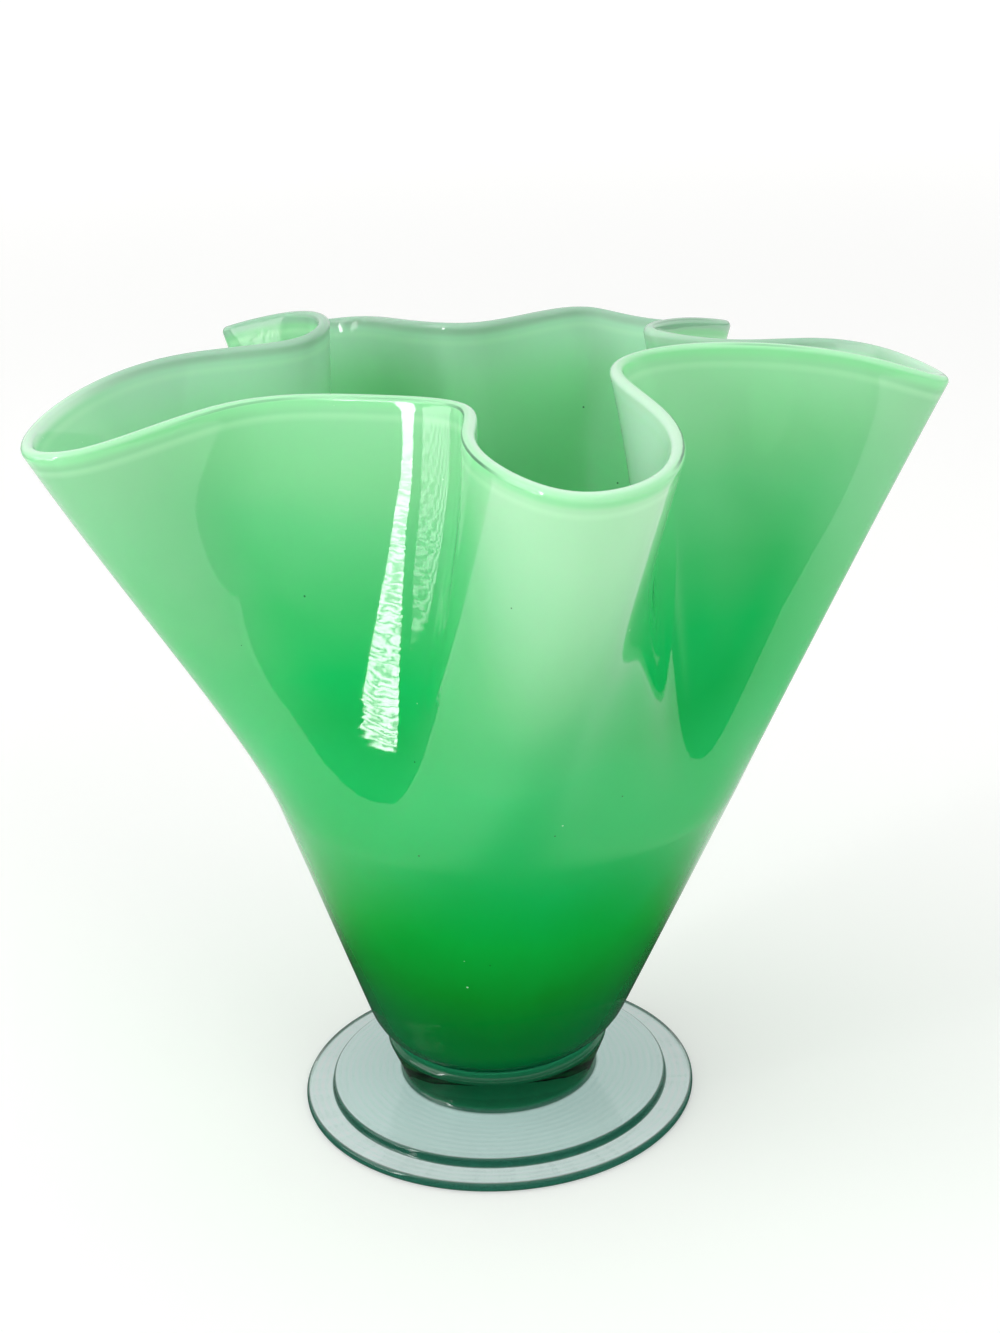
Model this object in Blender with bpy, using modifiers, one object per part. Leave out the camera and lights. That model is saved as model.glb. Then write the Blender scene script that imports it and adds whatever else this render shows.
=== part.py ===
# Handkerchief vase of green cased glass on a clear applied foot.
# Metres, +Z up. The origin is the centre of the foot's underside, where the vase stands.
# Seen from the front, +X is to the right and -Y is towards the viewer.

import bpy
import bmesh
import math
import numpy as np

# Foot: a stepped disc of clear glass, with a neck that widens into a shallow cup for the bowl
foot_radius = 0.0625
foot_edge_height = 0.0032
foot_edge_round = 0.0014
plate_radius = 0.0537
plate_edge_height = 0.0061
plate_edge_round = 0.0011
plate_rise = 0.0019
neck_fillet = 0.0016
neck_slant = math.radians(22)
cup_lip_round = 0.0022
cup_reach = math.radians(29)

# Bowl: a round heel, a plain cone and a pinched wall that ends in the ruffled rim
bowl_base_height = 0.0203
bowl_base_radius = 0.0360
heel_round = 0.022
cone_angle = math.radians(21.3)
cone_top_height = 0.110
cone_lean = 0.075
rim_wall = 0.0038
base_wall = 0.0085
lip_round = 0.0016

# How the wall leaves the cone, and how it leans where it reaches the rim
cone_pull = 0.022
rim_pull = 0.045
lobe_lean = math.radians(27)
fold_lean = math.radians(-14)
fold_reach = 0.050
lobe_reach = 0.125
front_fold_bearing = math.radians(239)

# Clear distance left between the bowl and the cup that it is fused into
joint_gap = 0.0003

# Middle of the rim's lip, counter-clockwise from the left lobe: place, across, deep, height in mm
rim_places = [
    ("left lobe tip", -124, -26, 227),
    ("left lobe front side", -107, -39, 230),
    ("left lobe front side", -67, -26, 238),
    ("left lobe front side", -28, -37, 242),
    ("front left fold", -2, -55, 243),
    ("front lobe left side", -1, -77, 242),
    ("front lobe left side", 7, -108, 240),
    ("front lobe tip", 26, -123, 237),
    ("front lobe right side", 46, -113, 238),
    ("front lobe right side", 51, -72, 242),
    ("front right fold", 41, -25, 244),
    ("right lobe front side", 61, -2, 243),
    ("right lobe front side", 111, -11, 240),
    ("right lobe tip", 136, -8, 231),
    ("right lobe back side", 126, 26, 231),
    ("right lobe back side", 102, 42, 232),
    ("right lobe back side", 75, 31, 236),
    ("back right fold", 56, 27, 241),
    ("back right lobe side", 60, 45, 239),
    ("back right lobe side", 76, 70, 233),
    ("back right lobe tip", 84, 88, 227),
    ("back right lobe back", 60, 96, 227),
    ("back right lobe back", 38, 101, 231),
    ("back fold", 5, 67, 236),
    ("back left lobe back", -20, 83, 234),
    ("back left lobe back", -36, 110, 229),
    ("back left lobe tip", -62, 114, 226),
    ("back left lobe side", -79, 103, 229),
    ("back left lobe side", -59, 87, 237),
    ("back left fold", -44, 56, 241),
    ("left lobe back side", -52, 43, 239),
    ("left lobe back side", -86, 45, 235),
    ("left lobe back side", -117, 20, 230),
]

# Fineness of the surfaces
steps_per_place = 3
rings_on_heel = 3
rings_on_cone = 3
rings_on_wall = 11
steps_on_round = 3
steps_on_lip = 5
foot_segments = 56

# The rim's raw edge is sharper than this, and no fold in the wall is
sharp_corner = math.radians(50)


def remove_everything():
    for obj in list(bpy.data.objects):
        bpy.data.objects.remove(obj, do_unlink=True)


def glass_material(name, colour, roughness):
    material = bpy.data.materials.new(name)
    material.use_nodes = True
    shader = material.node_tree.nodes["Principled BSDF"]
    shader.inputs["Base Color"].default_value = colour
    shader.inputs["Roughness"].default_value = roughness
    shader.inputs["Metallic"].default_value = 0.0
    return material


def arc_points(centre, radius, start, end, steps):
    # Points of a round from one angle to another, both ends included, as (radius, height)
    angles = np.linspace(start, end, steps + 1)
    return [(centre[0] + radius * math.cos(a), centre[1] + radius * math.sin(a)) for a in angles]


def closed_curve(points, steps):
    # Smooth closed curve through the points, with curvature that runs on through each of them
    count = len(points)
    spans = np.sqrt(np.linalg.norm(np.roll(points, -1, axis=0) - points, axis=1))
    matrix = np.zeros((count, count))
    target = np.zeros_like(points)
    for i in range(count):
        before, after = spans[i - 1], spans[i]
        following = (i + 1) % count
        matrix[i, i - 1] += after
        matrix[i, i] += 2 * (before + after)
        matrix[i, following] += before
        step_in = (points[i] - points[i - 1]) / before
        step_out = (points[following] - points[i]) / after
        target[i] = 3 * (after * step_in + before * step_out)
    slopes = np.linalg.solve(matrix, target)
    curve = []
    for i in range(count):
        following = (i + 1) % count
        for t in np.arange(steps) / steps:
            curve.append(
                (2 * t**3 - 3 * t**2 + 1) * points[i]
                + (t**3 - 2 * t**2 + t) * spans[i] * slopes[i]
                + (3 * t**2 - 2 * t**3) * points[following]
                + (t**3 - t**2) * spans[i] * slopes[following]
            )
    return np.array(curve)


def rim_curve():
    middle = closed_curve(np.array([place[1:] for place in rim_places]) / 1000.0, steps_per_place)
    along = np.roll(middle, -1, axis=0) - np.roll(middle, 1, axis=0)
    outward = np.stack([along[:, 1], -along[:, 0], np.zeros(len(along))], axis=1)
    outward /= np.linalg.norm(outward, axis=1)[:, None]
    return middle + outward * rim_wall / 2


def cone_bearings(rim):
    # The glass is shared out evenly round the cone, by the length of rim that each part feeds
    lengths = np.linalg.norm(np.roll(rim, -1, axis=0) - rim, axis=1)
    travelled = np.concatenate([[0.0], np.cumsum(lengths)[:-1]])
    share = 2 * math.pi * travelled / lengths.sum()
    fold = next(i for i, place in enumerate(rim_places) if place[0] == "front left fold")
    return front_fold_bearing + share - share[fold * steps_per_place]


def heel_centre():
    # Centre of the heel's round, which touches both the flat base and the cone
    tangent = heel_round * math.tan((math.pi / 2 - cone_angle) / 2)
    return bowl_base_radius - tangent, bowl_base_height + heel_round


def heel_and_cone_profile():
    # Outer profile of the round part of the bowl, from its flat base up to the cone's top
    heel = arc_points(heel_centre(), heel_round, -math.pi / 2, -cone_angle, rings_on_heel)
    last_radius, last_height = heel[-1]
    heights = np.linspace(last_height, cone_top_height, rings_on_cone + 1)[1:]
    return heel + [(last_radius + (z - last_height) * math.tan(cone_angle), z) for z in heights]


def lean_at(height):
    # The bowl leans a little to the right, from the cup's lip up
    cup_top = bowl_base_height + heel_round * (1 - math.cos(cup_reach))
    return cone_lean * max(0.0, height - cup_top)


def smooth_step(value):
    value = np.clip(value, 0.0, 1.0)
    return value * value * (3 - 2 * value)


def wall_rings(rim, bearings, start_radius):
    # Each line up the wall is a cubic curve from the cone's top to the rim
    radial = np.stack([np.cos(bearings), np.sin(bearings), np.zeros(len(bearings))], axis=1)
    start = radial * start_radius + [lean_at(cone_top_height), 0.0, cone_top_height]
    start_pull = radial * math.tan(cone_angle) + [cone_lean, 0.0, 1.0]
    start_pull *= cone_pull / np.linalg.norm(start_pull, axis=1)[:, None]
    reach = np.linalg.norm(rim[:, :2], axis=1)
    lobe = smooth_step((reach - fold_reach) / (lobe_reach - fold_reach))
    lean = fold_lean + (lobe_lean - fold_lean) * lobe
    end_pull = rim * (np.sin(lean) / reach)[:, None]
    end_pull[:, 2] = np.cos(lean)
    end_pull *= rim_pull
    rings = []
    for t in np.linspace(0, 1, rings_on_wall + 1)[1:]:
        rings.append(
            (1 - t) ** 3 * start
            + 3 * t * (1 - t) ** 2 * (start + start_pull)
            + 3 * t * t * (1 - t) * (rim - end_pull)
            + t**3 * rim
        )
    return rings


def build_bowl(collection):
    rim = rim_curve()
    bearings = cone_bearings(rim)
    profile = heel_and_cone_profile()
    rings = []
    for radius, height in profile:
        ring = np.stack([np.cos(bearings), np.sin(bearings), np.zeros(len(bearings))], axis=1) * radius
        rings.append(ring + [lean_at(height), 0.0, height])
    rings += wall_rings(rim, bearings, profile[-1][0])

    mesh = bpy.data.meshes.new("bowl")
    shell = bmesh.new()
    thickness = shell.verts.layers.deform.verify()
    rows = []
    for ring in rings:
        row = [shell.verts.new(point) for point in ring]
        weight = float(smooth_step((cone_top_height - ring[0][2]) / (cone_top_height - bowl_base_height)))
        for vert in row:
            vert[thickness][0] = weight
        rows.append(row)
    for lower, upper in zip(rows, rows[1:]):
        for i in range(len(lower)):
            j = (i + 1) % len(lower)
            shell.faces.new((lower[i], lower[j], upper[j], upper[i]))
    shell.faces.new(list(reversed(rows[0])))
    shell.to_mesh(mesh)
    shell.free()
    mesh.shade_smooth()

    bowl = bpy.data.objects.new("bowl", mesh)
    bowl.vertex_groups.new(name="thick glass")
    collection.objects.link(bowl)
    solid = bowl.modifiers.new("wall", "SOLIDIFY")
    solid.thickness = base_wall
    solid.offset = -1
    solid.vertex_group = "thick glass"
    solid.thickness_vertex_group = rim_wall / base_wall
    solid.use_quality_normals = True
    lip = bowl.modifiers.new("lip", "BEVEL")
    lip.width = lip_round
    lip.segments = steps_on_round
    lip.limit_method = "ANGLE"
    lip.angle_limit = sharp_corner
    bowl.data.materials.append(glass_material("green cased glass", (0.10, 0.62, 0.22, 1.0), 0.06))
    return bowl


def cup_profile():
    # Inside of the cup, which follows the heel a joint's gap away, and its rounded lip
    centre = heel_centre()
    seat_round = heel_round + joint_gap
    seat = arc_points(centre, seat_round, -math.pi / 2, cup_reach - math.pi / 2, steps_on_round)
    lip_centre = (
        centre[0] + (seat_round + cup_lip_round) * math.sin(cup_reach),
        centre[1] - (seat_round + cup_lip_round) * math.cos(cup_reach),
    )
    lip = arc_points(lip_centre, cup_lip_round, cup_reach + math.pi / 2, -neck_slant, steps_on_lip)
    return [(0.0, seat[0][1])] + seat + lip[1:]


def disc_profile(cup_edge):
    # Neck fillet, raised plate, step and outer edge, then the flat underside
    plate_top = plate_edge_height + plate_rise
    fillet_start = plate_top + neck_fillet * (1 + math.sin(neck_slant))
    neck_root = cup_edge[0] - (cup_edge[1] - fillet_start) * math.tan(neck_slant)
    fillet_centre = (neck_root + neck_fillet * math.cos(neck_slant), plate_top + neck_fillet)
    fillet = arc_points(
        fillet_centre, neck_fillet, math.pi - neck_slant, math.pi * 3 / 2, steps_on_round
    )
    plate_centre = (plate_radius - plate_edge_round, plate_edge_height - plate_edge_round)
    plate = arc_points(plate_centre, plate_edge_round, math.pi / 2, 0, steps_on_round)
    edge_radius = foot_radius - foot_edge_round
    upper_centre = (edge_radius, foot_edge_height - foot_edge_round)
    upper = arc_points(upper_centre, foot_edge_round, math.pi / 2, 0, steps_on_round)
    lower = arc_points((edge_radius, foot_edge_round), foot_edge_round, 0, -math.pi / 2, steps_on_round)
    return fillet + plate + [(plate_radius, foot_edge_height)] + upper + lower + [(0.0, 0.0)]


def build_foot(collection):
    profile = cup_profile()
    profile += disc_profile(profile[-1])
    mesh = bpy.data.meshes.new("foot")
    outline = bmesh.new()
    verts = [outline.verts.new((r, 0.0, z)) for r, z in profile]
    for a, b in zip(verts, verts[1:]):
        outline.edges.new((a, b))
    outline.to_mesh(mesh)
    outline.free()
    foot = bpy.data.objects.new("foot", mesh)
    collection.objects.link(foot)
    turned = foot.modifiers.new("turned", "SCREW")
    turned.steps = foot_segments
    turned.render_steps = foot_segments
    turned.use_merge_vertices = True
    turned.merge_threshold = joint_gap / 10
    turned.use_smooth_shade = True
    foot.data.materials.append(glass_material("clear foot glass", (0.36, 0.56, 0.54, 1.0), 0.04))
    return foot


def build_vase():
    remove_everything()
    collection = bpy.data.collections.new("handkerchief vase")
    bpy.context.scene.collection.children.link(collection)
    build_bowl(collection)
    build_foot(collection)


build_vase()
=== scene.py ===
# Handkerchief vase of green cased glass on a clear applied foot, in metres, standing on z = 0

import math

import bpy
import numpy as np
from mathutils import Matrix, Vector


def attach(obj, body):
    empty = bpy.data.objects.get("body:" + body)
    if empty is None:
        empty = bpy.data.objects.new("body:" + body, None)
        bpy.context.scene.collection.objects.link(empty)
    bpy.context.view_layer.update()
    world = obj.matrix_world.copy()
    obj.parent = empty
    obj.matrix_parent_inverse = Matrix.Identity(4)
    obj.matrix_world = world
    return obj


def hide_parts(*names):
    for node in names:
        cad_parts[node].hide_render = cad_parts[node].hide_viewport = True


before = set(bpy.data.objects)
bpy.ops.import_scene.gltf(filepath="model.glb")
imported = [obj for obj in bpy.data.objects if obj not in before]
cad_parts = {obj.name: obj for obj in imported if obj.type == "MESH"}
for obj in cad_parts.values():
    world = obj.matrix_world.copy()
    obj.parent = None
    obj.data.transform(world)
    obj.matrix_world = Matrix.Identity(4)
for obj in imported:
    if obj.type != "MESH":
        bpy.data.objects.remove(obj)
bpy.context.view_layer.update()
weldDistance = 0.00002
waveRepeat = math.pi / 10  # how far apart the wave texture's bands lie at scale 1


def rgb(red, green, blue):  # 0 to 255 as seen on a screen, turned into the shader's own scale
    parts = [c / 255 for c in (red, green, blue)]
    return tuple(c / 12.92 if c <= 0.04045 else ((c + 0.055) / 1.055) ** 2.4 for c in parts) + (1.0,)


def smoothStep(value):
    value = np.clip(value, 0.0, 1.0)
    return value * value * (3 - 2 * value)


def arcPoints(centre, radius, start, end, steps):  # (radius, height) pairs, both ends included
    return [
        (centre[0] + radius * math.cos(a), centre[1] + radius * math.sin(a))
        for a in np.linspace(start, end, steps + 1)
    ]


def selectOnly(obj):
    bpy.ops.object.select_all(action="DESELECT")
    obj.select_set(True)
    bpy.context.view_layer.objects.active = obj


def closeMesh(mesh):  # leaves edit mode, with the points that meet joined and every face turned outward
    bpy.ops.mesh.select_all(action="SELECT")
    bpy.ops.mesh.remove_doubles(threshold=weldDistance)
    bpy.ops.mesh.normals_make_consistent(inside=False)
    bpy.ops.object.mode_set(mode="OBJECT")
    mesh.shade_smooth()


bowlShape = {
    "baseHeight": 0.0203,
    "baseRadius": 0.0360,
    "heelRound": 0.022,
    "coneAngle": math.radians(21.3),
    "coneTop": 0.110,
    "coneLean": 0.075,  # sideways for each metre up
    "rimWall": 0.0038,
    "rimPlay": 0.0003,  # the smooth rim bulges a little past the facets of the CAD model
    "baseWall": 0.0085,
    "conePull": 0.022,
    "rimPull": 0.045,
    "lobeLean": math.radians(27),
    "foldLean": math.radians(-14),
    "foldReach": 0.050,
    "lobeReach": 0.125,
    "frontFoldBearing": math.radians(239),
    # The wall beside the front left fold sinks a little round a slanted line
    "trough": {
        "place": (-0.0276, -0.0531, 0.1995),
        "slant": (0.194, 0.160),
        "reach": 0.047,
        "depth": 0.0026,
        "heights": (0.080, 0.155, 0.160, 0.252),
    },
    "columnsPerPlace": 10,
    "rowsOnBase": 3,
    "rowsOnHeel": 10,
    "rowsOnCone": 12,
    "rowsOnWall": 56,
    "rowsOnLip": 12,
}

footShape = {
    "radius": 0.0625,
    "edgeHeight": 0.0032,
    "edgeRound": 0.0014,
    "plateRadius": 0.0537,
    "plateEdgeHeight": 0.0061,
    "plateEdgeRound": 0.0011,
    "plateRise": 0.0019,
    "stepFillet": 0.0007,
    "neckFillet": 0.0016,
    "neckSlant": math.radians(22),
    "cupLipRound": 0.0022,
    "cupReach": math.radians(29),
    "gap": 0.0003,
    "segments": 192,
    "stepsOnRound": 8,
}

# Middle of the lip in mm, counter-clockwise from the left lobe's tip: across, deep, height
rimPlaces = [
    (-124, -26, 227), (-107, -39, 230), (-67, -26, 238), (-28, -37, 242),  # left lobe, front side
    (-2, -55, 243),  # front left fold
    (-1, -77, 242), (7, -108, 240), (26, -123, 237), (46, -113, 238), (51, -72, 242),  # front lobe
    (41, -25, 244),  # front right fold
    (61, -2, 243), (111, -11, 240), (136, -8, 231),  # right lobe, front side
    (126, 26, 231), (102, 42, 232), (75, 31, 236),  # right lobe, back side
    (56, 27, 241),  # back right fold
    (60, 45, 239), (76, 70, 233), (84, 88, 227), (60, 96, 227), (38, 101, 231),  # back right lobe
    (5, 67, 236),  # back fold
    (-20, 83, 234), (-36, 110, 229), (-62, 114, 226), (-79, 103, 229), (-59, 87, 237),  # back left lobe
    (-44, 56, 241),  # back left fold
    (-52, 43, 239), (-86, 45, 235), (-117, 20, 230),  # left lobe, back side
]
frontLeftFold = 4


def closedCurve(points, steps):  # smooth closed curve, with curvature that runs on through each point
    count = len(points)
    spans = np.sqrt(np.linalg.norm(np.roll(points, -1, axis=0) - points, axis=1))
    matrix = np.zeros((count, count))
    target = np.zeros_like(points)
    for i in range(count):
        before, after = spans[i - 1], spans[i]
        nextOne = (i + 1) % count
        matrix[i, i - 1] += after
        matrix[i, i] += 2 * (before + after)
        matrix[i, nextOne] += before
        inward, onward = points[i] - points[i - 1], points[nextOne] - points[i]
        target[i] = 3 * (after * inward / before + before * onward / after)
    slopes = np.linalg.solve(matrix, target)
    curve = []
    for i in range(count):
        nextOne = (i + 1) % count
        for t in np.arange(steps) / steps:
            curve.append(
                (2 * t**3 - 3 * t**2 + 1) * points[i]
                + (t**3 - 2 * t**2 + t) * spans[i] * slopes[i]
                + (3 * t**2 - 2 * t**3) * points[nextOne]
                + (t**3 - t**2) * spans[i] * slopes[nextOne]
            )
    return np.array(curve)


def heelCentre(shape):
    tangent = shape["heelRound"] * math.tan((math.pi / 2 - shape["coneAngle"]) / 2)
    return shape["baseRadius"] - tangent, shape["baseHeight"] + shape["heelRound"]


def leanAt(shape, height):  # the bowl leans a little to the right, from the cup's lip up
    cupTop = shape["baseHeight"] + shape["heelRound"] * (1 - math.cos(footShape["cupReach"]))
    return shape["coneLean"] * max(0.0, height - cupTop)


def troughDepth(trough, points):
    heights = points[:, :, 2]
    above = heights - trough["place"][2]
    across, deep = (start + above * slant for start, slant in zip(trough["place"], trough["slant"]))
    away = np.hypot(points[:, :, 0] - across, points[:, :, 1] - deep)
    lowest, full, fullTop, top = trough["heights"]
    deepening = smoothStep((heights - lowest) / (full - lowest))
    fading = smoothStep((top - heights) / (top - fullTop))
    share = deepening * fading
    return trough["depth"] * share * (1 - smoothStep(away / trough["reach"]))


def bowlRows(shape):  # from the middle of the base up the outside, over the lip and down the inside
    rim = closedCurve(np.array(rimPlaces, float) / 1000, shape["columnsPerPlace"])
    along = np.roll(rim, -1, axis=0) - np.roll(rim, 1, axis=0)
    outward = np.stack([along[:, 1], -along[:, 0], np.zeros(len(along))], axis=1)
    outward /= np.linalg.norm(outward, axis=1)[:, None]
    rim = rim + outward * (shape["rimWall"] / 2 - shape["rimPlay"])
    rim[:, 2] -= shape["rimPlay"]

    lengths = np.linalg.norm(np.roll(rim, -1, axis=0) - rim, axis=1)
    share = 2 * math.pi * np.concatenate([[0.0], np.cumsum(lengths)[:-1]]) / lengths.sum()
    bearings = shape["frontFoldBearing"] + share - share[frontLeftFold * shape["columnsPerPlace"]]
    radial = np.stack([np.cos(bearings), np.sin(bearings), np.zeros(len(bearings))], axis=1)

    heelEnds = (-math.pi / 2, -shape["coneAngle"])
    heel = arcPoints(heelCentre(shape), shape["heelRound"], *heelEnds, shape["rowsOnHeel"])
    lastRadius, lastHeight = heel[-1]
    flat = [(heel[0][0] * i / shape["rowsOnBase"], heel[0][1]) for i in range(shape["rowsOnBase"])]
    cone = [
        (lastRadius + (z - lastHeight) * math.tan(shape["coneAngle"]), z)
        for z in np.linspace(lastHeight, shape["coneTop"], shape["rowsOnCone"] + 1)[1:]
    ]
    rows = [radial * r + [leanAt(shape, z), 0.0, z] for r, z in flat + heel + cone]

    start = rows[-1]
    startPull = radial * math.tan(shape["coneAngle"]) + [shape["coneLean"], 0.0, 1.0]
    startPull *= shape["conePull"] / np.linalg.norm(startPull, axis=1)[:, None]
    reach = np.linalg.norm(rim[:, :2], axis=1)
    lobe = smoothStep((reach - shape["foldReach"]) / (shape["lobeReach"] - shape["foldReach"]))
    lean = shape["foldLean"] + (shape["lobeLean"] - shape["foldLean"]) * lobe
    endPull = rim * (np.sin(lean) / reach)[:, None]
    endPull[:, 2] = np.cos(lean)
    endPull *= shape["rimPull"]
    lipRadius = shape["rimWall"] / 2
    lipStart = 1 - lipRadius / (3 * shape["rimPull"])
    for t in np.linspace(0, lipStart, shape["rowsOnWall"] + 1)[1:]:
        rows.append(
            (1 - t) ** 3 * start
            + 3 * t * (1 - t) ** 2 * (start + startPull)
            + 3 * t * t * (1 - t) * (rim - endPull)
            + t**3 * rim
        )

    outside = np.array(rows)
    across = np.roll(outside, -1, axis=1) - np.roll(outside, 1, axis=1)
    upward = np.gradient(outside, axis=0)
    normals = np.cross(across, upward)
    normals[: shape["rowsOnBase"]] = (0, 0, -1)
    normals /= np.linalg.norm(normals, axis=2)[:, :, None]
    outside = outside - normals * troughDepth(shape["trough"], outside)[:, :, None]
    depth = smoothStep((shape["coneTop"] - outside[:, :, 2]) / (shape["coneTop"] - shape["baseHeight"]))
    wall = shape["rimWall"] + (shape["baseWall"] - shape["rimWall"]) * depth
    inside = outside - normals * wall[:, :, None]

    lipUp = outside[-1] - outside[-2]
    lipUp -= normals[-1] * (lipUp * normals[-1]).sum(axis=1)[:, None]
    lipUp /= np.linalg.norm(lipUp, axis=1)[:, None]
    lip = [
        outside[-1] + lipUp * lipRadius * math.sin(a) - normals[-1] * lipRadius * (1 - math.cos(a))
        for a in np.linspace(0, math.pi, shape["rowsOnLip"] + 1)[1:-1]
    ]
    allRows = np.concatenate([outside, lip, inside[::-1]])

    # The finish reads how far each place is from the lip, which face it is on, and how far out it stands
    climb = np.linalg.norm(np.diff(outside, axis=0), axis=2)
    left = np.concatenate([np.cumsum(climb[::-1], axis=0)[::-1], np.zeros((1, len(rim)))])
    fromLip = np.concatenate([left, np.zeros((len(lip), len(rim))), left[::-1]])
    overLip = np.linspace(0, 1, len(lip) + 2)[1:-1]
    face = np.concatenate([np.zeros(len(outside)), overLip, np.ones(len(outside))])
    face = np.repeat(face[:, None], len(rim), axis=1)
    heights = outside[:, :, 2]
    coneRadius = lastRadius + (heights - lastHeight) * math.tan(shape["coneAngle"])
    leans = np.stack([np.vectorize(leanAt)(shape, heights), np.zeros_like(heights)], axis=2)
    flare = np.linalg.norm(outside[:, :, :2] - leans, axis=2) / np.maximum(coneRadius, 0.01)
    flare[heights <= lastHeight] = 1.0
    flare = np.concatenate([flare, np.repeat(flare[-1:], len(lip), axis=0), flare[::-1]])
    return allRows, {"fromLip": fromLip, "innerFace": face, "flare": flare}


def makeBowl(shape):
    rows, marks = bowlRows(shape)
    rowCount, columnCount = rows.shape[:2]
    bpy.ops.object.select_all(action="DESELECT")
    bpy.ops.mesh.primitive_grid_add(x_subdivisions=columnCount, y_subdivisions=rowCount - 1, size=1.0)
    bowl = bpy.context.object
    bowl.name = "bowlGlass"
    mesh = bowl.data
    mesh.name = "bowlGlass"
    grid = np.zeros(len(mesh.vertices) * 3)
    mesh.vertices.foreach_get("co", grid)
    grid = grid.reshape(-1, 3)
    column = np.rint((grid[:, 0] + 0.5) * columnCount).astype(int) % columnCount
    row = np.rint((grid[:, 1] + 0.5) * (rowCount - 1)).astype(int)
    mesh.vertices.foreach_set("co", rows[row, column].ravel())
    for name, values in marks.items():
        mark = mesh.attributes.new(name, "FLOAT", "POINT")
        mark.data.foreach_set("value", values[row, column].astype(np.float32))
    selectOnly(bowl)
    bpy.ops.object.mode_set(mode="EDIT")
    closeMesh(mesh)
    print("bowl:", len(mesh.vertices), "points")
    return bowl


def footOutline(shape):  # from the cup over its lip, down the neck, over the plate and round the edge
    steps = shape["stepsOnRound"]
    centre = heelCentre(bowlShape)
    seatRound = bowlShape["heelRound"] + shape["gap"]
    reach = shape["cupReach"]
    seat = arcPoints(centre, seatRound, -math.pi / 2, reach - math.pi / 2, steps)
    lipRound, slant = shape["cupLipRound"], shape["neckSlant"]
    lipCentre = (
        centre[0] + (seatRound + lipRound) * math.sin(reach),
        centre[1] - (seatRound + lipRound) * math.cos(reach),
    )
    lip = arcPoints(lipCentre, lipRound, reach + math.pi / 2, -slant, steps * 2)
    plateTop = shape["plateEdgeHeight"] + shape["plateRise"]
    neckFillet = shape["neckFillet"]
    filletStart = plateTop + neckFillet * (1 + math.sin(slant))
    neckRoot = lip[-1][0] - (lip[-1][1] - filletStart) * math.tan(slant)
    filletCentre = (neckRoot + neckFillet * math.cos(slant), plateTop + neckFillet)
    fillet = arcPoints(filletCentre, neckFillet, math.pi - slant, math.pi * 1.5, steps)
    plateRound = shape["plateEdgeRound"]
    plateCentre = (shape["plateRadius"] - plateRound, shape["plateEdgeHeight"] - plateRound)
    plate = arcPoints(plateCentre, plateRound, math.pi / 2, 0, steps)
    edgeRound = shape["edgeRound"]
    edgeRadius = shape["radius"] - edgeRound
    upper = arcPoints((edgeRadius, shape["edgeHeight"] - edgeRound), edgeRound, math.pi / 2, 0, steps)
    lower = arcPoints((edgeRadius, edgeRound), edgeRound, 0, -math.pi / 2, steps)
    stepFillet = shape["stepFillet"]
    stepCentre = (shape["plateRadius"] + stepFillet, shape["edgeHeight"] + stepFillet)
    step = arcPoints(stepCentre, stepFillet, math.pi, math.pi * 1.5, steps)
    return [(0.0, seat[0][1])] + seat + lip[1:] + fillet + plate + step + upper + lower + [(0.0, 0.0)]


def makeFoot(shape):
    outline = footOutline(shape)
    mesh = bpy.data.meshes.new("footGlass")
    edges = [(i, i + 1) for i in range(len(outline) - 1)]
    mesh.from_pydata([(r, 0.0, z) for r, z in outline], edges, [])
    foot = bpy.data.objects.new("footGlass", mesh)
    bpy.context.scene.collection.objects.link(foot)
    selectOnly(foot)
    bpy.ops.object.mode_set(mode="EDIT")
    bpy.ops.mesh.select_all(action="SELECT")
    bpy.ops.mesh.spin(steps=shape["segments"], angle=2 * math.pi, center=(0, 0, 0), axis=(0, 0, 1))
    closeMesh(mesh)
    print("foot:", len(mesh.vertices), "points")
    return foot


def addNode(tree, kind, **settings):
    node = tree.nodes.new(kind)
    for name, value in settings.items():
        setattr(node, name, value)
    return node


def setInputs(node, values):
    for name, value in values.items():
        node.inputs[name].default_value = value
    return node


def colourRamp(tree, stops, interpolation="EASE"):
    ramp = addNode(tree, "ShaderNodeValToRGB")
    ramp.color_ramp.interpolation = interpolation
    elements = ramp.color_ramp.elements
    elements[0].position, elements[0].color = stops[0]
    elements[1].position, elements[1].color = stops[-1]
    for position, colour in stops[1:-1]:
        elements.new(position).color = colour
    return ramp


def feed(tree, socket, value):  # another node's output is linked, and a plain value is set
    if hasattr(value, "is_linked"):
        tree.links.new(value, socket)
    else:
        socket.default_value = value


def mixColours(tree, factor, first, second):
    mix = addNode(tree, "ShaderNodeMix", data_type="RGBA")
    for index, value in ((0, factor), (6, first), (7, second)):  # the colour sockets come after the others
        feed(tree, mix.inputs[index], value)
    return mix.outputs[2]


def calculate(tree, operation, first, second=0.0):
    node = addNode(tree, "ShaderNodeMath", operation=operation)
    for index, value in enumerate((first, second)):
        feed(tree, node.inputs[index], value)
    return node.outputs[0]


def mapValue(tree, value, low, high, toLow=0.0, toHigh=1.0, smooth=True):
    node = addNode(tree, "ShaderNodeMapRange", interpolation_type="SMOOTHSTEP" if smooth else "LINEAR")
    setInputs(node, {"From Min": low, "From Max": high, "To Min": toLow, "To Max": toHigh})
    tree.links.new(value, node.inputs["Value"])
    return node.outputs[0]


def newMaterial(name):
    material = bpy.data.materials.new(name)
    material.use_nodes = True
    return material, material.node_tree


def addRelief(tree, height, shader):  # the height is in metres
    bump = addNode(tree, "ShaderNodeBump")
    setInputs(bump, {"Strength": 1.0, "Distance": 1.0})
    tree.links.new(height, bump.inputs["Height"])
    tree.links.new(bump.outputs[0], shader.inputs["Normal"])


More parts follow.
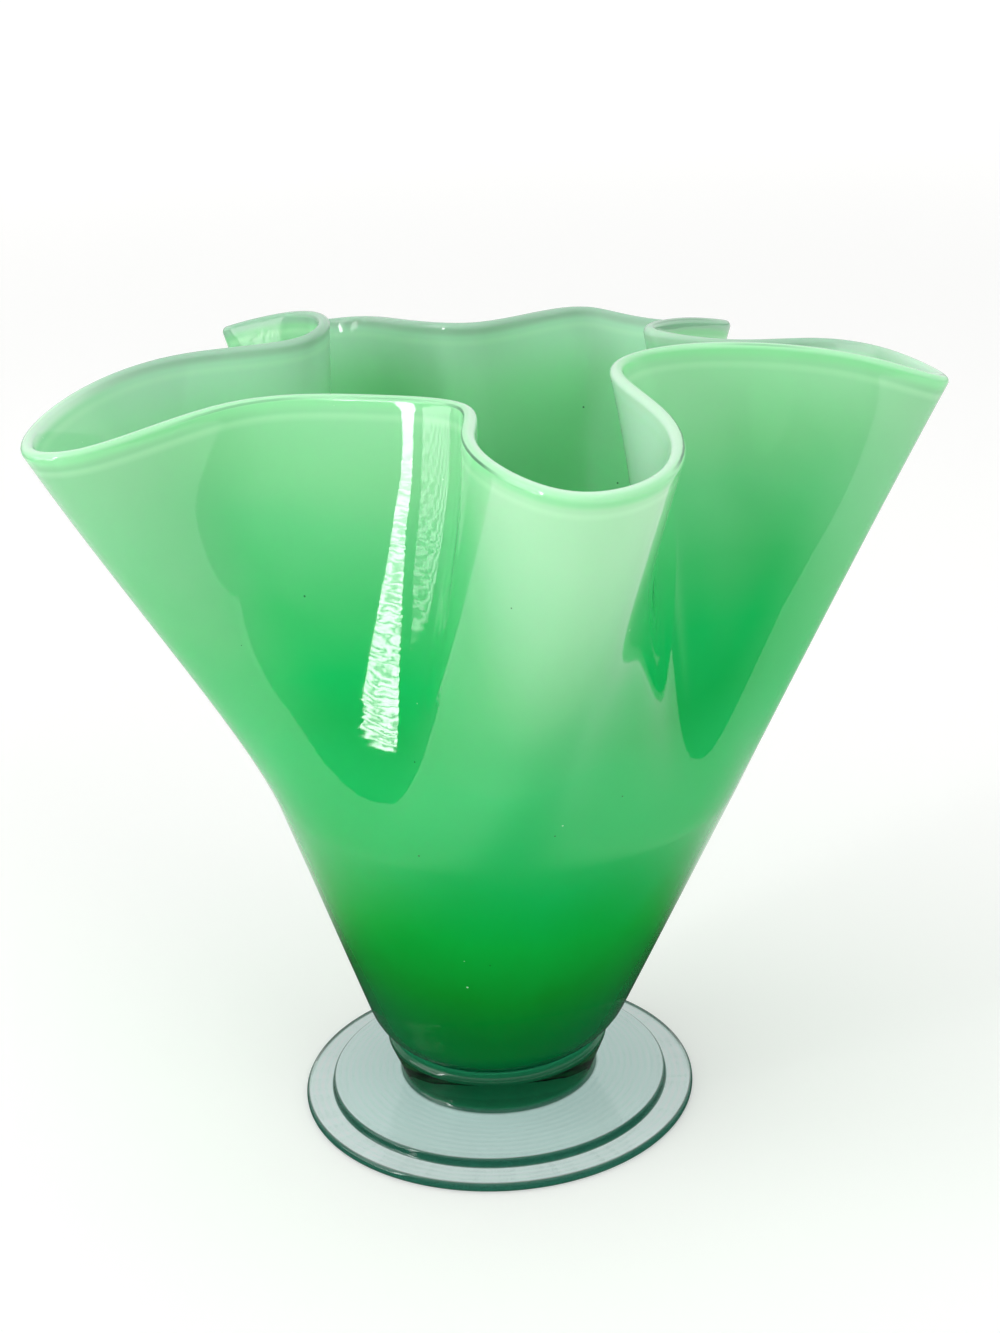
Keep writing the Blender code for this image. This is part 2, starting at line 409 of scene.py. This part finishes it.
seedShares = {"darkAbove": 0.80, "paleBelow": 0.22}  # of the melt's cells, the rest hold nothing
rippleDepths = {"rings": 0.0000018, "waves": ((22.0, 0.00022), (60.0, 0.00004))}  # waves: per metre, depth


def seedGroup():  # specks and small bubbles that were caught in the melt
    group = bpy.data.node_groups.new("caughtSeeds", "ShaderNodeTree")
    group.interface.new_socket("Place", in_out="INPUT", socket_type="NodeSocketVector")
    for name in ("Per Metre", "Size"):
        group.interface.new_socket(name, in_out="INPUT", socket_type="NodeSocketFloat")
    for name in ("Specks", "Bubbles"):
        group.interface.new_socket(name, in_out="OUTPUT", socket_type="NodeSocketFloat")
    start = addNode(group, "NodeGroupInput")
    end = addNode(group, "NodeGroupOutput")
    cells = addNode(group, "ShaderNodeTexVoronoi", feature="F1")
    setInputs(cells, {"Randomness": 1.0})
    group.links.new(start.outputs["Place"], cells.inputs["Vector"])
    group.links.new(start.outputs["Per Metre"], cells.inputs["Scale"])
    split = addNode(group, "ShaderNodeSeparateColor")
    group.links.new(cells.outputs["Color"], split.inputs["Color"])
    near = calculate(group, "LESS_THAN", cells.outputs["Distance"], start.outputs["Size"])
    dark = calculate(group, "GREATER_THAN", split.outputs[0], seedShares["darkAbove"])
    pale = calculate(group, "LESS_THAN", split.outputs[0], seedShares["paleBelow"])
    group.links.new(calculate(group, "MULTIPLY", near, dark), end.inputs["Specks"])
    group.links.new(calculate(group, "MULTIPLY", near, pale), end.inputs["Bubbles"])
    return group


def rippleGroup():  # fine rings that the tools leave, soft dents and a fine wobble, in metres
    group = bpy.data.node_groups.new("toolRipples", "ShaderNodeTree")
    group.interface.new_socket("Place", in_out="INPUT", socket_type="NodeSocketVector")
    for name in ("Spacing", "Wander"):
        group.interface.new_socket(name, in_out="INPUT", socket_type="NodeSocketFloat")
    group.interface.new_socket("Height", in_out="OUTPUT", socket_type="NodeSocketFloat")
    start = addNode(group, "NodeGroupInput")
    end = addNode(group, "NodeGroupOutput")
    rings = addNode(group, "ShaderNodeTexWave", wave_type="BANDS", bands_direction="Z")
    rings.wave_profile = "SIN"
    setInputs(rings, {"Detail": 2.0, "Detail Scale": 1.2})
    group.links.new(start.outputs["Place"], rings.inputs["Vector"])
    ringScale = calculate(group, "DIVIDE", waveRepeat, start.outputs["Spacing"])
    group.links.new(ringScale, rings.inputs["Scale"])
    group.links.new(start.outputs["Wander"], rings.inputs["Distortion"])
    height = calculate(group, "MULTIPLY", rings.outputs["Fac"], rippleDepths["rings"])
    for scale, depth in rippleDepths["waves"]:
        waves = addNode(group, "ShaderNodeTexNoise")
        setInputs(waves, {"Scale": scale, "Detail": 0.0})
        group.links.new(start.outputs["Place"], waves.inputs["Vector"])
        wave = calculate(group, "MULTIPLY", waves.outputs["Fac"], depth)
        height = calculate(group, "ADD", height, wave)
    group.links.new(height, end.inputs["Height"])
    return group


bowlFinish = {
    "height": (0.020, 0.244),
    "crest": [  # height in metres and colour, where the wall follows the plain cone or stands out from it
        (0.035, rgb(0, 118, 8)),
        (0.055, rgb(0, 142, 22)),
        (0.080, rgb(0, 168, 56)),
        (0.101, rgb(0, 178, 80)),
        (0.120, rgb(24, 186, 94)),
        (0.139, rgb(48, 195, 107)),
        (0.152, rgb(72, 196, 114)),
        (0.174, rgb(98, 200, 126)),
        (0.200, rgb(122, 207, 144)),
        (0.230, rgb(146, 213, 160)),
    ],
    "fold": [  # the same, where the wall is folded in
        (0.105, rgb(20, 184, 88)),
        (0.148, rgb(6, 176, 80)),
        (0.166, rgb(16, 188, 92)),
        (0.186, rgb(64, 194, 108)),
        (0.207, rgb(104, 206, 134)),
        (0.222, rgb(132, 214, 150)),
        (0.240, rgb(156, 224, 170)),
    ],
    "inside": [
        (0.080, rgb(60, 194, 110)),
        (0.150, rgb(120, 216, 150)),
        (0.195, rgb(150, 230, 172)),
        (0.216, rgb(166, 236, 184)),
        (0.236, rgb(176, 236, 192)),
    ],
    "lip": [  # from the outer edge over the top to the inner edge
        (0.00, rgb(150, 228, 166)),
        (0.30, rgb(178, 242, 190)),
        (0.55, rgb(206, 250, 214)),
        (1.00, rgb(214, 250, 222)),
    ],
    "paleMint": rgb(206, 255, 212),
    "backlitInsideGlow": rgb(216, 255, 228),
    "greyBackLip": rgb(150, 190, 166),
    "paleBackInside": rgb(188, 228, 206),
    "lipLine": rgb(14, 104, 62),
    "clearEdge": rgb(0, 92, 72),
    "speck": rgb(6, 70, 30),
    "bubbleGlint": rgb(215, 255, 225),
    "casingShift": 0.010,  # the casing isn't the same thickness everywhere
    "foldFlare": (0.76, 1.02),  # how far out, as a share of the plain cone's radius
    "thinAndBacklitDeep": (-0.118, -0.086),  # where along Y the front lobe turns paler, partly thinner glass and partly painted glow of light shining through it
    "glowInsideDeep": (-0.050, -0.012),
    "backDeep": (0.005, 0.045),  # the rim turns greyer, and the inside just below it paler, towards the back
    "paleInsideReach": (0.002, 0.024),
    "lipReach": (0.0003, 0.0026),
    "lineReach": (0.0026, 0.0040, 0.0060),  # a pale line runs below the lip
    "heelClear": (0.030, 0.085),
    "flankMiddle": -0.080,
    "flankReach": (0.020, 0.032),
    "seedsPerMetre": 105.0,
    "seedSize": 0.036,
    "ringSpacing": 0.0028,
    "ringWander": 7.0,
}


def rampByHeight(tree, level, finish, name):
    low, high = finish["height"]
    ramp = colourRamp(tree, [((z - low) / (high - low), colour) for z, colour in finish[name]], "LINEAR")
    tree.links.new(level, ramp.inputs[0])
    return ramp.outputs[0]


def greenCasedGlass(seeds, ripples, finish):
    material, tree = newMaterial("greenCasedGlass")
    shader = tree.nodes["Principled BSDF"]
    place = addNode(tree, "ShaderNodeTexCoord").outputs["Object"]
    height = addNode(tree, "ShaderNodeSeparateXYZ")
    tree.links.new(place, height.inputs[0])
    flare, face, fromLip = (
        addNode(tree, "ShaderNodeAttribute", attribute_name=name).outputs["Fac"]
        for name in ("flare", "innerFace", "fromLip")
    )

    cloud = addNode(tree, "ShaderNodeTexNoise")
    setInputs(cloud, {"Scale": 11.0, "Detail": 3.0, "Roughness": 0.5, "Distortion": 0.4})
    tree.links.new(place, cloud.inputs["Vector"])
    most = finish["casingShift"]
    shift = mapValue(tree, cloud.outputs["Fac"], 0.3, 0.7, -most, most, smooth=False)
    cloudy = calculate(tree, "ADD", height.outputs["Z"], shift)
    level = mapValue(tree, cloudy, *finish["height"], smooth=False)
    folded = mapValue(tree, flare, *finish["foldFlare"], 1.0, 0.0)
    shades = ("crest", "fold", "inside")
    crest, fold, inside = (rampByHeight(tree, level, finish, name) for name in shades)
    colour = mixColours(tree, folded, crest, fold)
    # Painted glow: the front lobe is made paler, partly for its thinner glass and partly for light shining
    # through it
    thinAndBacklit = mapValue(tree, height.outputs["Y"], *finish["thinAndBacklitDeep"], 0.45, 0.0)
    colour = mixColours(tree, thinAndBacklit, colour, finish["paleMint"])
    # Painted glow: the inside of the front lobe is made paler, for light shining through its thin wall
    pale = mapValue(tree, height.outputs["Y"], *finish["glowInsideDeep"], 1.0, 0.0)
    inside = mixColours(tree, pale, inside, finish["backlitInsideGlow"])
    back = mapValue(tree, height.outputs["Y"], *finish["backDeep"])
    nearLip = mapValue(tree, fromLip, *finish["paleInsideReach"], 0.60, 0.0)
    backPaleness = calculate(tree, "MULTIPLY", back, nearLip)
    inside = mixColours(tree, backPaleness, inside, finish["paleBackInside"])
    colour = mixColours(tree, face, colour, inside)

    lipShade = colourRamp(tree, finish["lip"])
    tree.links.new(face, lipShade.inputs[0])
    backGrey = calculate(tree, "MULTIPLY", back, 0.8)
    lipColour = mixColours(tree, backGrey, lipShade.outputs[0], finish["greyBackLip"])
    onLip = mapValue(tree, fromLip, *finish["lipReach"], 1.0, 0.0)
    colour = mixColours(tree, onLip, colour, lipColour)
    lineTop, lineMiddle, lineEnd = finish["lineReach"]
    startOfLine = mapValue(tree, fromLip, lineTop, lineMiddle, 0.0, 0.22)
    endOfLine = mapValue(tree, fromLip, lineMiddle, lineEnd, 1.0, 0.0)
    paleLine = calculate(tree, "MULTIPLY", startOfLine, endOfLine)
    colour = mixColours(tree, paleLine, colour, finish["paleMint"])
    patchy = addNode(tree, "ShaderNodeTexNoise")  # dark strokes lie along the lip's outer shoulder
    setInputs(patchy, {"Scale": 14.0, "Detail": 1.0})
    tree.links.new(place, patchy.inputs["Vector"])
    rightSide = mapValue(tree, height.outputs["X"], 0.025, 0.040, 0.0, 0.14)
    acrossLip = calculate(tree, "SUBTRACT", face, rightSide)
    overEdge = mapValue(tree, acrossLip, 0.06, 0.12)
    beforeTop = mapValue(tree, acrossLip, 0.18, 0.26, 1.0, 0.0)
    shoulder = calculate(tree, "MULTIPLY", overEdge, beforeTop)
    turned = mapValue(tree, flare, 0.72, 0.92, 1.0, 0.0)
    strokes = mapValue(tree, patchy.outputs["Fac"], 0.48, 0.62, 0.0, 0.35)
    broken = calculate(tree, "MULTIPLY", strokes, turned)
    fromMiddle = calculate(tree, "ADD", height.outputs["Y"], -finish["flankMiddle"])
    fromFlanks = calculate(tree, "ABSOLUTE", fromMiddle)
    frontFlanks = mapValue(tree, fromFlanks, *finish["flankReach"], 0.85, 0.0)
    line = calculate(tree, "MULTIPLY", shoulder, calculate(tree, "MAXIMUM", broken, frontFlanks))
    colour = mixColours(tree, line, colour, finish["lipLine"])

    sideView = addNode(tree, "ShaderNodeLayerWeight")  # the clear casing shows at the heel's sides
    setInputs(sideView, {"Blend": 0.45})
    low = mapValue(tree, height.outputs["Z"], *finish["heelClear"], 0.85, 0.0)
    clear = calculate(tree, "MULTIPLY", sideView.outputs["Facing"], low)
    colour = mixColours(tree, clear, colour, finish["clearEdge"])

    marks = addNode(tree, "ShaderNodeGroup", node_tree=seeds)
    setInputs(marks, {"Per Metre": finish["seedsPerMetre"], "Size": finish["seedSize"]})
    tree.links.new(place, marks.inputs["Place"])
    specks = calculate(tree, "MULTIPLY", marks.outputs["Specks"], 0.7)
    # The pale seed dots are partly real bubbles and partly painted glints
    bubbles = calculate(tree, "MULTIPLY", marks.outputs["Bubbles"], 0.6)
    colour = mixColours(tree, specks, colour, finish["speck"])
    colour = mixColours(tree, bubbles, colour, finish["bubbleGlint"])
    tree.links.new(colour, shader.inputs["Base Color"])

    rings = addNode(tree, "ShaderNodeGroup", node_tree=ripples)
    setInputs(rings, {"Spacing": finish["ringSpacing"], "Wander": finish["ringWander"]})
    tree.links.new(place, rings.inputs["Place"])
    addRelief(tree, rings.outputs["Height"], shader)
    setInputs(shader, {
        "Roughness": 0.03,
        "IOR": 1.6,
        "Subsurface Weight": 0.30,
        "Subsurface Scale": 0.006,
    })
    shader.inputs["Subsurface Radius"].default_value = (0.4, 1.0, 0.6)
    return material


footFinish = {
    "surface": rgb(244, 252, 251),
    "edge": rgb(6, 64, 42),
    "collar": rgb(8, 106, 52),
    "streak": rgb(160, 208, 202),
    "speck": rgb(60, 110, 100),
    "depthColour": (0.02, 0.60, 0.50, 1.0),
    "depthDensity": 30.0,
    "ringSpacing": 0.0022,
    "ringRelief": 0.000012,
    "bubbleRelief": 0.00008,
    "streakShare": 0.18,
    "collarStart": (0.0084, 0.0100),  # heights between which the neck turns into the dark collar
    "seedsPerMetre": 90.0,
    "seedSize": 0.03,
}


def clearFootGlass(seeds, finish):
    material, tree = newMaterial("clearFootGlass")
    shader = tree.nodes["Principled BSDF"]
    output = tree.nodes["Material Output"]
    place = addNode(tree, "ShaderNodeTexCoord").outputs["Object"]
    marks = addNode(tree, "ShaderNodeGroup", node_tree=seeds)
    setInputs(marks, {"Per Metre": finish["seedsPerMetre"], "Size": finish["seedSize"]})
    tree.links.new(place, marks.inputs["Place"])
    facing = addNode(tree, "ShaderNodeSeparateXYZ")  # upright faces look through more of the disc
    tree.links.new(addNode(tree, "ShaderNodeNewGeometry").outputs["True Normal"], facing.inputs[0])
    level = calculate(tree, "ABSOLUTE", facing.outputs["Z"])
    upright = mapValue(tree, level, 0.85, 0.999, 1.0, 0.0)
    rings = addNode(tree, "ShaderNodeTexWave", wave_type="RINGS", rings_direction="Z")
    rings.wave_profile = "SIN"
    ringScale = waveRepeat / finish["ringSpacing"]
    setInputs(rings, {"Scale": ringScale, "Distortion": 1.5, "Detail": 1.0})
    tree.links.new(place, rings.inputs["Vector"])
    streaks = calculate(tree, "MULTIPLY", rings.outputs["Fac"], finish["streakShare"])
    colour = mixColours(tree, streaks, finish["surface"], finish["streak"])
    colour = mixColours(tree, upright, colour, finish["edge"])
    height = addNode(tree, "ShaderNodeSeparateXYZ")
    tree.links.new(place, height.inputs[0])
    # The collar's deep green is partly the long path through the solid neck and partly a painted
    # reflection of the green bowl above
    onCollar = mapValue(tree, height.outputs["Z"], *finish["collarStart"])
    colour = mixColours(tree, onCollar, colour, finish["collar"])
    colour = mixColours(tree, marks.outputs["Specks"], colour, finish["speck"])
    tree.links.new(colour, shader.inputs["Base Color"])
    ringRelief = calculate(tree, "MULTIPLY", rings.outputs["Fac"], finish["ringRelief"])
    bubbleRelief = calculate(tree, "MULTIPLY", marks.outputs["Bubbles"], finish["bubbleRelief"])
    addRelief(tree, calculate(tree, "ADD", ringRelief, bubbleRelief), shader)
    setInputs(shader, {"Roughness": 0.01, "IOR": 1.5, "Transmission Weight": 1.0})
    inside = addNode(tree, "ShaderNodeVolumeAbsorption")
    setInputs(inside, {"Color": finish["depthColour"], "Density": finish["depthDensity"]})
    tree.links.new(inside.outputs[0], output.inputs["Volume"])
    seeThrough = addNode(tree, "ShaderNodeBsdfTransparent")
    paths = addNode(tree, "ShaderNodeLightPath")
    letLightIn = addNode(tree, "ShaderNodeMixShader")
    tree.links.new(paths.outputs["Is Shadow Ray"], letLightIn.inputs[0])
    tree.links.new(shader.outputs[0], letLightIn.inputs[1])
    tree.links.new(seeThrough.outputs[0], letLightIn.inputs[2])
    tree.links.new(letLightIn.outputs[0], output.inputs["Surface"])
    return material


bowl = makeBowl(bowlShape)
foot = makeFoot(footShape)
caughtSeeds = seedGroup()
toolRipples = rippleGroup()
bowl.data.materials.append(greenCasedGlass(caughtSeeds, toolRipples, bowlFinish))
foot.data.materials.append(clearFootGlass(caughtSeeds, footFinish))
for piece, node, slotName in ((bowl, "bowl", "green_cased_glass"), (foot, "foot", "clear_foot_glass")):
    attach(piece, "root")
    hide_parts(node)
print("vase made")


# Reflections show only this part of the floor
sheet = {"left": -0.50, "right": 0.95, "front": -1.25, "back": 3.5}
groundSize = 60.0
groundDrop = 0.0004
floorColour = (0.93, 0.93, 0.92, 1.0)
paintedShadeInMirror = (0.06, 0.06, 0.06, 1.0)  # painted shade: in the glass's reflections the floor is darkened close to the foot


def makeFloor():
    bpy.ops.object.select_all(action="DESELECT")
    bpy.ops.mesh.primitive_plane_add(size=1.0)
    cover = bpy.context.object
    cover.name = "paleSheet"
    for vert in cover.data.vertices:
        x, y = vert.co[:2]
        vert.co = (sheet["left" if x < 0 else "right"], sheet["front" if y < 0 else "back"], 0.0)
    bpy.ops.object.select_all(action="DESELECT")
    bpy.ops.mesh.primitive_plane_add(size=groundSize, location=(0, 0, -groundDrop))
    ground = bpy.context.object
    ground.name = "paleGround"
    bpy.ops.object.transform_apply(location=True)
    ground.visible_glossy = False
    material, tree = newMaterial("palePlain")
    shader = tree.nodes["Principled BSDF"]
    setInputs(shader, {"Roughness": 0.9, "Specular IOR Level": 0.0})
    paths = addNode(tree, "ShaderNodeLightPath")
    away = addNode(tree, "ShaderNodeVectorMath", operation="LENGTH")
    tree.links.new(addNode(tree, "ShaderNodeTexCoord").outputs["Object"], away.inputs[0])
    # Painted shade: mirrored rays see the floor near the foot darkened, in place of the vase's own shadow
    close = mapValue(tree, away.outputs["Value"], 0.09, 0.17, 1.0, 0.0)
    mirrored = calculate(tree, "MINIMUM", paths.outputs["Glossy Depth"], 1.0)
    dim = calculate(tree, "MULTIPLY", close, mirrored)
    colour = mixColours(tree, dim, floorColour, paintedShadeInMirror)
    tree.links.new(colour, shader.inputs["Base Color"])
    through = calculate(tree, "MULTIPLY", paths.outputs["Is Transmission Ray"], 0.19)
    far = mapValue(tree, away.outputs["Value"], 0.9, 2.6, 0.16, 0.32)
    toCamera = calculate(tree, "MULTIPLY", paths.outputs["Is Camera Ray"], far)
    glow = calculate(tree, "ADD", toCamera, through)
    glow = calculate(tree, "MULTIPLY", glow, calculate(tree, "SUBTRACT", 1.0, mirrored))
    shader.inputs["Emission Color"].default_value = (1.0, 1.0, 0.99, 1.0)
    tree.links.new(glow, shader.inputs["Emission Strength"])
    for obj in (cover, ground):
        obj.data.materials.append(material)


def makeLight(name, place, target, size, power):
    lamp = bpy.data.lights.new(name, "AREA")
    lamp.shape = "RECTANGLE"
    lamp.size, lamp.size_y = size
    lamp.energy = power
    obj = bpy.data.objects.new(name, lamp)
    bpy.context.scene.collection.objects.link(obj)
    obj.location = place
    obj.rotation_euler = (Vector(target) - Vector(place)).to_track_quat("-Z", "Y").to_euler()
    return obj


windowShape = {
    "name": "tallWindow",
    "seenFrom": (-0.025, -0.053),  # the fold that mirrors it
    "distance": 1.5,
    "rows": [  # height in metres, and the bearings of its two edges in degrees from +X
        (0.95, 211.5, 206.0),
        (0.44, 211.3, 206.5),
        (0.36, 211.0, 208.0),
        (0.22, 210.8, 207.0),
        (0.11, 210.0, 203.0),
        (0.045, 209.2, 198.0),
        (-0.01, 207.8, 195.0),
        (-0.075, 205.4, 192.0),
    ],
    "slatSpacing": 0.016,
    "strength": 18.0,
    "lightsAll": True,
}

curtainShape = {
    "name": "paleCurtain",
    "seenFrom": (-0.025, -0.053),
    "distance": 1.5,
    "rows": [
        (0.50, 203.5, 168.0),
        (0.30, 203.5, 168.0),
        (0.16, 200.0, 172.0),
        (0.08, 194.0, 178.0),
    ],
    "slatSpacing": 0.024,
    "strength": 4.5,
    "lightsAll": False,
}


def makeWindow(shape):  # a tall bright shape behind slats, which show most low down
    points = []
    for height, *directions in shape["rows"]:
        for angle in map(math.radians, directions):
            x = shape["seenFrom"][0] + shape["distance"] * math.cos(angle)
            y = shape["seenFrom"][1] + shape["distance"] * math.sin(angle)
            points.append((x, y, height))
    faces = [(i, i + 1, i + 3, i + 2) for i in range(0, len(points) - 2, 2)]
    mesh = bpy.data.meshes.new(shape["name"])
    mesh.from_pydata(points, [], faces)
    window = bpy.data.objects.new(shape["name"], mesh)
    bpy.context.scene.collection.objects.link(window)
    window.visible_camera = False
    window.visible_diffuse = shape["lightsAll"]
    material, tree = newMaterial(shape["name"] + "Glow")
    tree.nodes.remove(tree.nodes["Principled BSDF"])
    slats = addNode(tree, "ShaderNodeTexWave", wave_type="BANDS", bands_direction="Z")
    slatScale = waveRepeat / shape["slatSpacing"]
    setInputs(slats, {"Scale": slatScale, "Distortion": 3.0, "Detail": 1.0})
    place = addNode(tree, "ShaderNodeTexCoord").outputs["Object"]
    tree.links.new(place, slats.inputs["Vector"])
    height = addNode(tree, "ShaderNodeSeparateXYZ")
    tree.links.new(place, height.inputs[0])
    depth = mapValue(tree, height.outputs["Z"], 0.10, 0.45, 0.88, 0.45)
    dark = calculate(tree, "MULTIPLY", slats.outputs["Fac"], depth)
    glow = addNode(tree, "ShaderNodeEmission")
    share = calculate(tree, "SUBTRACT", 1.0, dark)
    strength = calculate(tree, "MULTIPLY", share, shape["strength"])
    tree.links.new(strength, glow.inputs["Strength"])
    tree.links.new(glow.outputs[0], tree.nodes["Material Output"].inputs["Surface"])
    mesh.materials.append(material)


room = {"dim": (0.10, 0.11, 0.11, 1.0), "bright": (0.85, 0.87, 0.86, 1.0), "even": (0.77, 0.77, 0.77, 1.0)}


def makeWorld():
    world = bpy.data.worlds.new("plainRoom")
    bpy.context.scene.world = world
    world.use_nodes = True
    tree = world.node_tree
    background = tree.nodes["Background"]
    paths = addNode(tree, "ShaderNodeLightPath")
    way = addNode(tree, "ShaderNodeTexCoord").outputs["Generated"]
    split = addNode(tree, "ShaderNodeSeparateXYZ")
    tree.links.new(way, split.inputs[0])
    # Mirrored rays see a bright wall behind the vase and the dimmer room in front of it
    behind = mapValue(tree, split.outputs["Y"], 0.0, 0.50)
    up = mapValue(tree, split.outputs["Z"], 0.15, 0.75)
    notBelow = mapValue(tree, split.outputs["Z"], -0.10, 0.0)
    bright = calculate(tree, "MAXIMUM", calculate(tree, "MULTIPLY", behind, notBelow), up)
    mirrored = mixColours(tree, bright, room["dim"], room["bright"])
    plain = mixColours(tree, paths.outputs["Is Glossy Ray"], room["even"], mirrored)
    throughGlass = paths.outputs["Is Transmission Ray"]
    direct = calculate(tree, "MAXIMUM", paths.outputs["Is Camera Ray"], throughGlass)
    seen = mixColours(tree, direct, plain, (1.0, 1.0, 1.0, 1.0))
    tree.links.new(seen, background.inputs["Color"])
    background.inputs["Strength"].default_value = 1.0


def makeCamera():
    yaw, pitch, roll = math.radians(0.51), math.radians(21.77), math.radians(-2.41)
    level = math.cos(pitch)
    forward = Vector((math.sin(yaw) * level, math.cos(yaw) * level, -math.sin(pitch)))
    right = Vector((math.cos(yaw), -math.sin(yaw), 0.0))
    up = right.cross(forward)
    turnedRight = math.cos(roll) * right + math.sin(roll) * up
    turnedUp = -math.sin(roll) * right + math.cos(roll) * up
    lens = bpy.data.cameras.new("photoCamera")
    lens.sensor_width = 36.0
    lens.lens = 62.1
    camera = bpy.data.objects.new("photoCamera", lens)
    bpy.context.scene.collection.objects.link(camera)
    matrix = Matrix((turnedRight, turnedUp, -forward)).transposed().to_4x4()
    matrix.translation = Vector((0.0, -0.6452, 0.4029))
    camera.matrix_world = matrix
    bpy.context.scene.camera = camera


makeFloor()
for shape in (windowShape, curtainShape):
    makeWindow(shape)
makeLight("softLeft", (-1.5, -0.3, 1.3), (0.0, 0.0, 0.12), (1.2, 1.0), 6.0)
fill = makeLight("softRight", (1.1, -1.3, 1.2), (0.0, 0.0, 0.15), (1.2, 1.0), 7.0)
fill.visible_glossy = False
makeWorld()
makeCamera()
bpy.context.scene.view_settings.view_transform = "Standard"
print("stage set")

bpy.context.view_layer.update()
